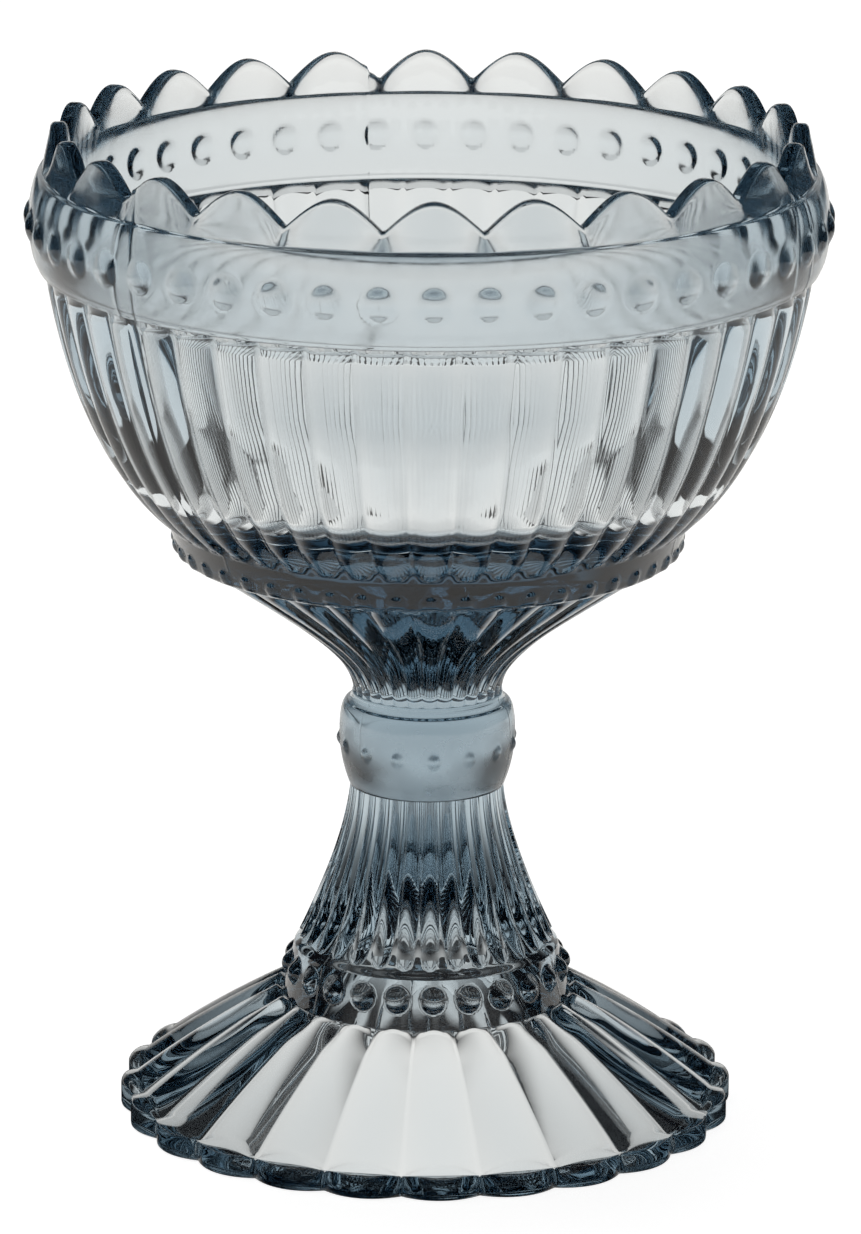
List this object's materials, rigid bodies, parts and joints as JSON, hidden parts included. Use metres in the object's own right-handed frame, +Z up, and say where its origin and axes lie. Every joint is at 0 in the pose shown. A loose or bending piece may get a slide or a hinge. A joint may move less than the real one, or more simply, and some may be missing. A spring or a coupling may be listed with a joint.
{
  "type": "footed dessert bowl",
  "caption": "Footed dessert bowl in smoky grey-blue pressed glass, with a scalloped crown, beaded band, fluted cup, knopped stem and lobed foot.",
  "frame": {"origin": "centre of the foot's resting ring, on the table", "axes": "+Z up along the bowl's own axis, -Y the side that faces the picture's camera, +X to its right"},
  "size_m": [0.1224, 0.1224, 0.155],
  "materials": {
    "smoke_glass": "clear smoky grey-blue soda-lime glass, pressed in a three-part mould and fire polished"
  },
  "bodies": {
    "root": {"bowl": "smoke_glass", "neck": "smoke_glass", "knop": "smoke_glass", "stem": "smoke_glass", "foot": "smoke_glass"}
  },
  "joints": []
}
